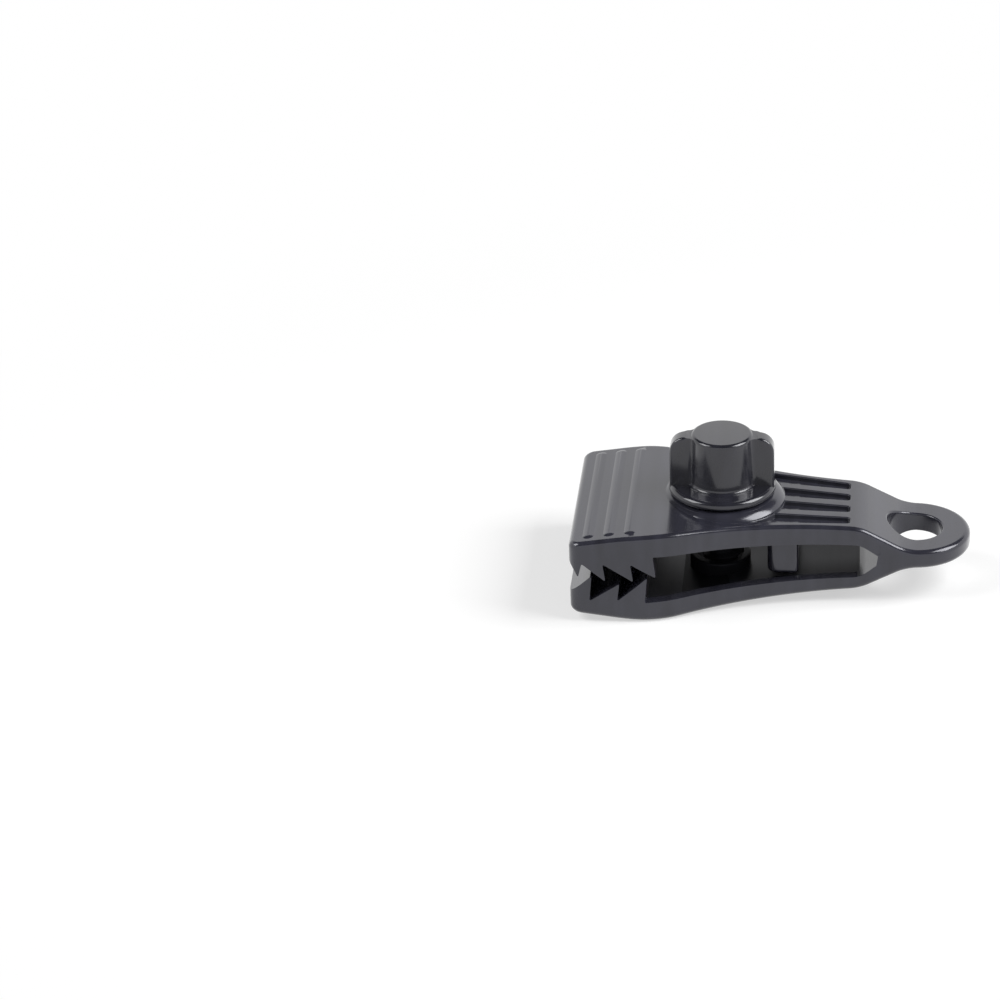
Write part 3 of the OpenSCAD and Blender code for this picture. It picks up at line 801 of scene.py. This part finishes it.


# Materials, with painted shade between the skirts and round the stem

def plastic(name, colour, shine, coat, roughness, grain):
    """Moulded nylon: a little uneven in tone and gloss, with faint flow streaks and a fine grain."""
    material = bpy.data.materials.new(name)
    material.use_nodes = True
    nodes, links = material.node_tree.nodes, material.node_tree.links
    shader = nodes["Principled BSDF"]
    shader.inputs["IOR"].default_value = shine
    shader.inputs["Specular Tint"].default_value = (0.88, 0.89, 1, 1)
    shader.inputs["Coat Weight"].default_value = coat
    shader.inputs["Coat IOR"].default_value = 1.5
    shader.inputs["Coat Roughness"].default_value = roughness
    place = nodes.new("ShaderNodeTexCoord")

    def noise(scale, detail, stretch=(1, 1, 1)):
        cloud = nodes.new("ShaderNodeTexNoise")
        cloud.inputs["Scale"].default_value = scale
        cloud.inputs["Detail"].default_value = detail
        drawn = nodes.new("ShaderNodeVectorMath")
        drawn.operation = "MULTIPLY"
        drawn.inputs[1].default_value = stretch
        links.new(place.outputs["Object"], drawn.inputs[0])
        links.new(drawn.outputs["Vector"], cloud.inputs["Vector"])
        return cloud.outputs["Fac"]

    flow = noise(420, 1, (1, 0.05, 0.3))
    tone = nodes.new("ShaderNodeMapRange")
    tone.inputs["To Min"].default_value = 0.5
    tone.inputs["To Max"].default_value = 1.5
    links.new(flow, tone.inputs["Value"])
    tint = nodes.new("ShaderNodeMix")
    tint.data_type = "RGBA"
    tint.blend_type = "MULTIPLY"
    tint.inputs["Factor"].default_value = 1
    tint.inputs["A"].default_value = (*colour, 1)
    links.new(tone.outputs["Result"], tint.inputs["B"])
    links.new(tint.outputs["Result"], shader.inputs["Base Color"])

    gloss = nodes.new("ShaderNodeMapRange")
    gloss.inputs["To Min"].default_value = roughness - 0.05
    gloss.inputs["To Max"].default_value = roughness + 0.05
    links.new(noise(160, 4), gloss.inputs["Value"])
    links.new(gloss.outputs["Result"], shader.inputs["Roughness"])

    streaks = nodes.new("ShaderNodeBump")
    streaks.inputs["Strength"].default_value = 0.12
    streaks.inputs["Distance"].default_value = 0.0001
    links.new(flow, streaks.inputs["Height"])
    fine = nodes.new("ShaderNodeBump")
    fine.inputs["Strength"].default_value = grain
    fine.inputs["Distance"].default_value = 0.0001
    links.new(noise(900, 2), fine.inputs["Height"])
    links.new(streaks.outputs["Normal"], fine.inputs["Normal"])
    links.new(fine.outputs["Normal"], shader.inputs["Normal"])
    return material


body_plastic = plastic(
    "charcoal_nylon", colour=(0.026, 0.026, 0.037), shine=1.41, coat=0.7, roughness=0.17, grain=0.05
)
screw_plastic = plastic(
    "charcoal_screw_nylon", colour=(0.018, 0.018, 0.025), shine=1.27, coat=1, roughness=0.15, grain=0.03
)
# Between the skirts: duller, and darker in tone than the outer nylon, which is painted shade
dull_painted_shade_plastic = plastic(
    "dull_charcoal_nylon_painted_shade", colour=(0.022, 0.022, 0.027), shine=1.27, coat=0, roughness=0.3, grain=0.02
)
# On the stem and round it: nearly black, a painted shade where the stem stands in deep shadow
stem_painted_shade_plastic = plastic(
    "charcoal_nylon_painted_stem_shade", colour=(0.009, 0.009, 0.011), shine=1.22, coat=0, roughness=0.5, grain=0.12
)
arm_finishes_and_painted_shade = (body_plastic, dull_painted_shade_plastic, stem_painted_shade_plastic)
for piece, slot_materials in (
    (upper, arm_finishes_and_painted_shade), (lower, arm_finishes_and_painted_shade), (root, (body_plastic,)),
    (knob, (screw_plastic,)), (stem, (stem_painted_shade_plastic,)),
):
    for surface_material in slot_materials:
        piece.data.materials.append(surface_material)


# Floor, lights and camera

def sheet_of(name, size, height):
    """A flat square that belongs to the studio."""
    bm = bmesh.new()
    bmesh.ops.create_grid(bm, x_segments=1, y_segments=1, size=size / 2)
    mesh = bpy.data.meshes.new(name)
    bm.to_mesh(mesh)
    bm.free()
    mesh.transform(Matrix.Translation((0, 0, height)))
    sheet = bpy.data.objects.new(name, mesh)
    bpy.context.scene.collection.objects.link(sheet)
    return sheet


def seen_directly(nodes, links):
    """1 for camera, mirror and glass rays, otherwise 0."""
    path = nodes.new("ShaderNodeLightPath")
    either = nodes.new("ShaderNodeMath")
    either.operation = "MAXIMUM"
    links.new(path.outputs["Is Camera Ray"], either.inputs[0])
    links.new(path.outputs["Is Glossy Ray"], either.inputs[1])
    all_three = nodes.new("ShaderNodeMath")
    all_three.operation = "MAXIMUM"
    links.new(either.outputs[0], all_three.inputs[0])
    links.new(path.outputs["Is Transmission Ray"], all_three.inputs[1])
    return all_three.outputs[0]


def mixed(nodes, links, share, first, second):
    """Two shaders mixed, with the second one's share."""
    mix = nodes.new("ShaderNodeMixShader")
    links.new(share, mix.inputs["Fac"])
    links.new(first, mix.inputs[1])
    links.new(second, mix.inputs[2])
    return mix.outputs[0]


def white_world():
    """A backdrop that is seen pure white and lights the clip at half that strength."""
    world = bpy.data.worlds.new("white_backdrop")
    bpy.context.scene.world = world
    world.use_nodes = True
    nodes, links = world.node_tree.nodes, world.node_tree.links
    light = nodes["Background"]
    light.inputs["Color"].default_value = (1, 1, 1, 1)
    light.inputs["Strength"].default_value = 0.5
    white = nodes.new("ShaderNodeBackground")
    white.inputs["Color"].default_value = (1, 1, 1, 1)
    white.inputs["Strength"].default_value = 1
    backdrop = mixed(nodes, links, seen_directly(nodes, links), light.outputs[0], white.outputs[0])
    links.new(backdrop, nodes["World Output"].inputs["Surface"])


def white_floor():
    """A floor that keeps the clip's shadow and, away from it, is as white as the backdrop."""
    floor = sheet_of("floor", 1.2, 0)
    surface_material = bpy.data.materials.new("floor_white")
    surface_material.use_nodes = True
    nodes, links = surface_material.node_tree.nodes, surface_material.node_tree.links
    shader = nodes["Principled BSDF"]
    shader.inputs["Base Color"].default_value = (0.5, 0.5, 0.5, 1)
    shader.inputs["Roughness"].default_value = 1
    shader.inputs["Specular IOR Level"].default_value = 0
    seen = seen_directly(nodes, links)
    lift = nodes.new("ShaderNodeMath")
    lift.operation = "MULTIPLY"
    lift.inputs[1].default_value = 0.53
    links.new(seen, lift.inputs[0])
    shader.inputs["Emission Color"].default_value = (1, 1, 1, 1)
    links.new(lift.outputs[0], shader.inputs["Emission Strength"])

    place = nodes.new("ShaderNodeTexCoord")
    distance = nodes.new("ShaderNodeVectorMath")
    distance.operation = "LENGTH"
    links.new(place.outputs["Object"], distance.inputs[0])
    far = nodes.new("ShaderNodeMapRange")
    far.interpolation_type = "SMOOTHSTEP"
    far.inputs["From Min"].default_value = 0.07
    far.inputs["From Max"].default_value = 0.2
    links.new(distance.outputs["Value"], far.inputs["Value"])
    share = nodes.new("ShaderNodeMath")
    share.operation = "MULTIPLY"
    links.new(seen, share.inputs[0])
    links.new(far.outputs["Result"], share.inputs[1])
    white = nodes.new("ShaderNodeEmission")
    white.inputs["Color"].default_value = (1, 1, 1, 1)
    white.inputs["Strength"].default_value = 1
    faded = mixed(nodes, links, share.outputs[0], shader.outputs[0], white.outputs[0])
    links.new(faded, nodes["Material Output"].inputs["Surface"])
    floor.data.materials.append(surface_material)


def dark_ceiling():
    """A dark sheet overhead, which the rounded edges mirror."""
    ceiling = sheet_of("dark_ceiling", 1.9, 0.75)
    ceiling.visible_camera = False
    surface_material = bpy.data.materials.new("ceiling_grey")
    surface_material.use_nodes = True
    shader = surface_material.node_tree.nodes["Principled BSDF"]
    shader.inputs["Base Color"].default_value = (0.07, 0.07, 0.07, 1)
    shader.inputs["Roughness"].default_value = 0.9
    ceiling.data.materials.append(surface_material)


def softbox(name, azimuth, elevation, distance, width, height, power):
    """A lamp that looks at the clip from a side, with azimuth 0 at the camera's side."""
    data = bpy.data.lights.new(name, "AREA")
    data.shape = "RECTANGLE"
    data.size = width
    data.size_y = height
    data.energy = power
    lamp = bpy.data.objects.new(name, data)
    a, e = math.radians(azimuth), math.radians(elevation)
    way = Vector((math.sin(a) * math.cos(e), -math.cos(a) * math.cos(e), math.sin(e)))
    lamp.location = Vector((0, 0, 0.01)) + way * distance
    lamp.rotation_euler = (-way).to_track_quat("-Z", "Y").to_euler()
    bpy.context.scene.collection.objects.link(lamp)


white_world()
white_floor()
dark_ceiling()
softbox("right_softbox", azimuth=85, elevation=45, distance=0.6, width=0.36, height=0.36, power=3.4)
softbox("left_softbox", azimuth=-80, elevation=45, distance=0.6, width=0.28, height=0.28, power=1.5)

camera_data = bpy.data.cameras.new("camera")
camera = bpy.data.objects.new("camera", camera_data)
bpy.context.scene.collection.objects.link(camera)
camera_data.lens = 117
camera_data.sensor_width = 36
camera_data.clip_start = 0.01
azimuth, elevation, distance = math.radians(1.7), math.radians(28), 0.6235
target = Vector((0, 0, 0.0117))
level = math.cos(elevation)
back = Vector((math.sin(azimuth) * level, -math.cos(azimuth) * level, math.sin(elevation)))
camera.location = target + back * distance
look = (-back).to_track_quat("-Z", "Y")
# The clip stands right of the middle and just below it, as in the photograph of 1000 by 1000 pixels
focal_px = 1000 * camera_data.lens / camera_data.sensor_width
middle_px = 500
target_x_px, target_y_px = 772.4, 520.4
yaw = Matrix.Rotation(math.atan((target_x_px - middle_px) / focal_px), 3, "Y").to_quaternion()
pitch = Matrix.Rotation(math.atan((target_y_px - middle_px) / focal_px), 3, "X").to_quaternion()
camera.rotation_euler = (look @ yaw @ pitch).to_euler()
bpy.context.scene.camera = camera
bpy.context.scene.view_settings.view_transform = "Standard"
